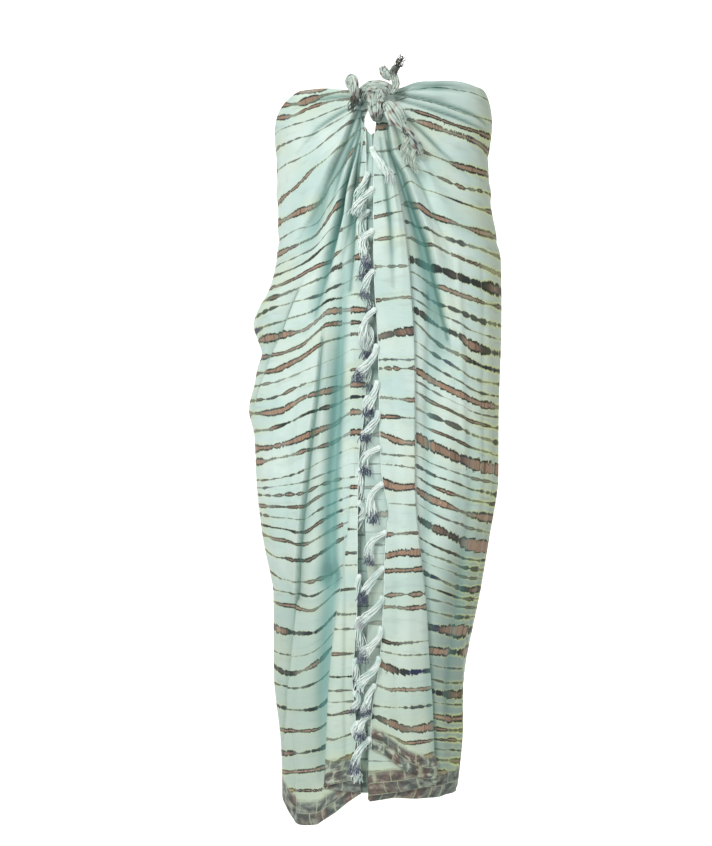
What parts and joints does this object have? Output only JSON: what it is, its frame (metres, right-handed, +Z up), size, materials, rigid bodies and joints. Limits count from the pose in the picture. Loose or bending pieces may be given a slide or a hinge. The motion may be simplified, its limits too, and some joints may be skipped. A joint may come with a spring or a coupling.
{
  "type": "sarong",
  "caption": "Thin striped sarong wrapped round the chest, knotted at the centre front, with fringed edges that hang from the knot.",
  "frame": {"origin": "on the axis of the chest at the height of the knot, where the wearer holds the wrap up", "axes": "+X to the right of someone looking at the front, -Y to the front with the knot, +Z up"},
  "size_m": [0.3789, 0.2922, 1.1057],
  "materials": {
    "aqua_rayon": "thin plain-weave rayon, soft sheen",
    "gathered_rayon": "tightly gathered thin rayon",
    "fringe_yarn": "soft matt yarn with dyed tips"
  },
  "bodies": {
    "root": {"cloth_left": "aqua_rayon", "cloth_right": "aqua_rayon", "knot": "gathered_rayon", "knot_band": "gathered_rayon", "tail_left": "gathered_rayon", "tail_up": "gathered_rayon", "tail_up_lobe": "gathered_rayon", "tail_right": "gathered_rayon", "fringe_left": "fringe_yarn", "fringe_right": "fringe_yarn"}
  },
  "joints": []
}
